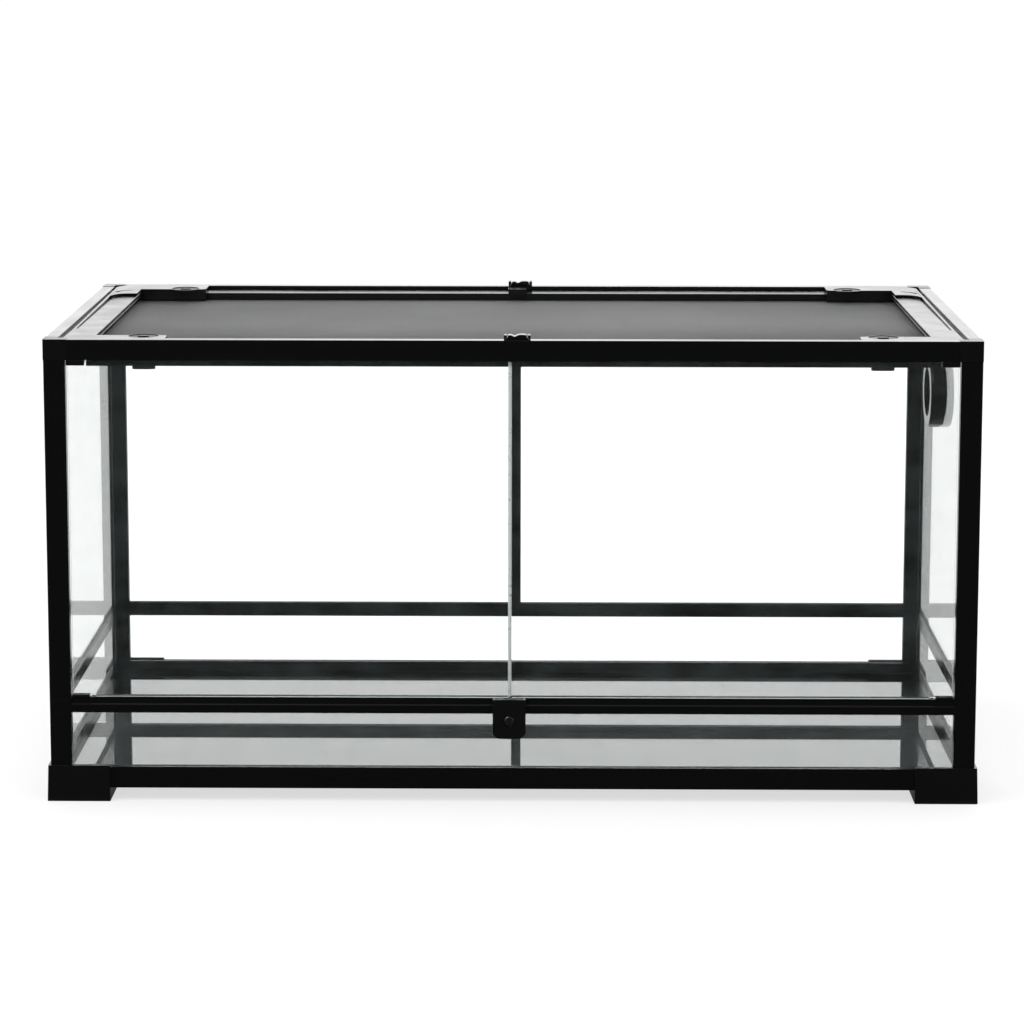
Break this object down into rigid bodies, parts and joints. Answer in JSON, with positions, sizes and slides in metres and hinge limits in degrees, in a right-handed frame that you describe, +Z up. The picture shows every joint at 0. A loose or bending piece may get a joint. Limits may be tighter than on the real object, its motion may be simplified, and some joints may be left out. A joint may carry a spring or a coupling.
{
  "type": "reptile terrarium",
  "caption": "Wide glass terrarium in a black frame on raised corner feet, with hinged front doors, a key lock and a lift-off screen cover.",
  "frame": {"origin": "middle of the footprint, on the ground under the feet", "axes": "+X to the right as seen from the front, along the longest side; +Y from the doors to the rear; +Z up"},
  "size_m": [0.9218, 0.468, 0.4671],
  "materials": {
    "frame_plastic": "black extruded plastic, smooth with a soft sheen",
    "cover_plastic": "black moulded plastic, satin",
    "fitting_plastic": "black moulded plastic, satin",
    "control_plastic": "black moulded plastic, glossy",
    "port_plastic": "black moulded plastic, satin",
    "clear_glass": "clear float glass with polished edges",
    "clear_seal": "clear soft edge strip",
    "screen_wire": "woven wire, dark grey coated",
    "lock_metal": "plated metal, satin"
  },
  "bodies": {
    "frame": {"foot_front_left": "frame_plastic", "foot_front_right": "frame_plastic", "foot_rear_left": "frame_plastic", "foot_rear_right": "frame_plastic", "lower_post_front_left": "frame_plastic", "lower_post_front_right": "frame_plastic", "lower_post_rear_left": "frame_plastic", "lower_post_rear_right": "frame_plastic", "upper_post_front_left": "frame_plastic", "upper_post_front_right": "frame_plastic", "upper_post_rear_left": "frame_plastic", "upper_post_rear_right": "frame_plastic", "top_corner_blocks": "frame_plastic", "bottom_rail_front": "frame_plastic", "bottom_rail_rear": "frame_plastic", "bottom_rail_left": "frame_plastic", "bottom_rail_right": "frame_plastic", "door_sill": "frame_plastic", "mid_rail_rear": "frame_plastic", "mid_rail_left": "frame_plastic", "mid_rail_right": "frame_plastic", "top_rail_front": "frame_plastic", "top_rail_rear": "frame_plastic", "top_rail_left": "frame_plastic", "top_rail_right": "frame_plastic", "rear_mullion": "frame_plastic", "floor_glass": "clear_glass", "lower_glass_front": "clear_glass", "lower_glass_rear": "clear_glass", "lower_glass_left": "clear_glass", "lower_glass_right": "clear_glass", "side_glass_left": "clear_glass", "side_glass_right": "clear_glass", "rear_glass_panes": "clear_glass", "lock_housing": "fitting_plastic", "latch_bases": "cover_plastic", "port_flange": "port_plastic", "port_nut": "port_plastic"},
    "door_left": {"door_glass_left": "clear_glass", "door_pivots_left": "fitting_plastic", "door_seal": "clear_seal"},
    "door_right": {"door_glass_right": "clear_glass", "door_pivots_right": "fitting_plastic"},
    "lock_latch": {"lock_latch": "control_plastic"},
    "lock_cylinder": {"lock_cylinder": "lock_metal"},
    "cover": {"cover_bar_front": "cover_plastic", "cover_bar_rear": "cover_plastic", "cover_end_left": "cover_plastic", "cover_end_right": "cover_plastic", "cover_brace": "cover_plastic", "screen_mesh": "screen_wire"},
    "knob_front_left": {"knob_front_left": "control_plastic"},
    "knob_front_right": {"knob_front_right": "control_plastic"},
    "knob_rear_left": {"knob_rear_left": "control_plastic"},
    "knob_rear_right": {"knob_rear_right": "control_plastic"},
    "latch_slide_front": {"latch_slide_front": "control_plastic"},
    "latch_slide_rear": {"latch_slide_rear": "control_plastic"},
    "cable_gate_left": {"cable_gate_left": "cover_plastic"},
    "cable_gate_right": {"cable_gate_right": "cover_plastic"},
    "port_plug": {"port_plug": "port_plastic"}
  },
  "joints": [
    {"name": "door_left_hinge", "type": "hinge", "parent": "frame", "child": "door_left", "pos_m": [-0.4297, -0.2245, 0.105], "axis": [0, 0, -1], "range_deg": [0, 100]},
    {"name": "door_right_hinge", "type": "hinge", "parent": "frame", "child": "door_right", "pos_m": [0.4297, -0.2245, 0.105], "axis": [0, 0, 1], "range_deg": [0, 100]},
    {"name": "lock_turn", "type": "hinge", "parent": "frame", "child": "lock_cylinder", "pos_m": [-0.003, -0.2335, 0.0834], "axis": [0, -1, 0], "range_deg": [0, 90]},
    {"name": "lock_latch_lift", "type": "slide", "parent": "frame", "child": "lock_latch", "axis": [0, 0, 1], "range_m": [0, 0.006]},
    {"name": "cover_lift", "type": "slide", "parent": "frame", "child": "cover", "axis": [0, 0, 1], "range_m": [0, 0.08]},
    {"name": "knob_front_left_turn", "type": "hinge", "parent": "cover", "child": "knob_front_left", "pos_m": [-0.364, -0.1875, 0.46], "axis": [0, 0, 1], "range_deg": [0, 90]},
    {"name": "knob_rear_left_turn", "type": "hinge", "parent": "cover", "child": "knob_rear_left", "pos_m": [-0.364, 0.1875, 0.46], "axis": [0, 0, 1], "range_deg": [0, 90]},
    {"name": "knob_front_right_turn", "type": "hinge", "parent": "cover", "child": "knob_front_right", "pos_m": [0.364, -0.1875, 0.46], "axis": [0, 0, 1], "range_deg": [0, 90]},
    {"name": "knob_rear_right_turn", "type": "hinge", "parent": "cover", "child": "knob_rear_right", "pos_m": [0.364, 0.1875, 0.46], "axis": [0, 0, 1], "range_deg": [0, 90]},
    {"name": "latch_front_slide", "type": "slide", "parent": "frame", "child": "latch_slide_front", "axis": [0, 1, 0], "range_m": [0, 0.0065]},
    {"name": "latch_rear_slide", "type": "slide", "parent": "frame", "child": "latch_slide_rear", "axis": [0, -1, 0], "range_m": [0, 0.0065]},
    {"name": "cable_gate_left_slide", "type": "slide", "parent": "cover", "child": "cable_gate_left", "axis": [0, -1, 0], "range_m": [0, 0.03]},
    {"name": "cable_gate_right_slide", "type": "slide", "parent": "cover", "child": "cable_gate_right", "axis": [0, -1, 0], "range_m": [0, 0.03]},
    {"name": "port_plug_slide", "type": "slide", "parent": "frame", "child": "port_plug", "axis": [1, 0, 0], "range_m": [0, 0.03]}
  ],
  "couplings": [
    {"joint": "lock_turn", "follows": "lock_latch_lift", "rad_per_m": 261.7}
  ]
}
